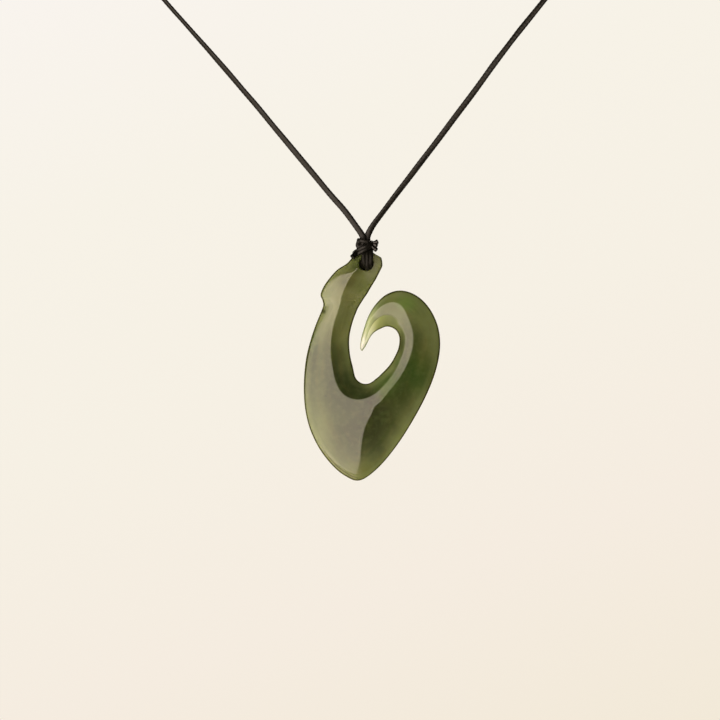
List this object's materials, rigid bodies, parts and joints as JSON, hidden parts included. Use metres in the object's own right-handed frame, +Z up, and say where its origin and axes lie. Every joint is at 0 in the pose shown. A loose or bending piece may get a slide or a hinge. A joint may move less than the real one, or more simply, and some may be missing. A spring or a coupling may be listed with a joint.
{
  "type": "hei matau pendant",
  "caption": "Carved and polished green stone fish-hook pendant, drilled through the head and lashed to a closed loop of thin flat waxed neck cord.",
  "frame": {"origin": "under the wrapped knot at the top of the neck loop, where the loop rests on the nape or on a peg", "axes": "+Z up, the way the pendant hangs; the front of the hook faces -Y; +X is to the right of someone who looks at the front, the side that the curl is on"},
  "size_m": [0.1452, 0.0074, 0.2025],
  "materials": {
    "nephrite": "polished, slightly translucent greenstone",
    "waxed_cord": "flat waxed polyester cord, near black"
  },
  "bodies": {
    "root": {"hook": "nephrite", "strand_left": "waxed_cord", "strand_middle": "waxed_cord", "strand_right": "waxed_cord", "knot": "waxed_cord", "binding": "waxed_cord", "cut_ends": "waxed_cord", "neck_cord_left": "waxed_cord", "neck_cord_right": "waxed_cord", "neck_knot": "waxed_cord"}
  },
  "joints": []
}
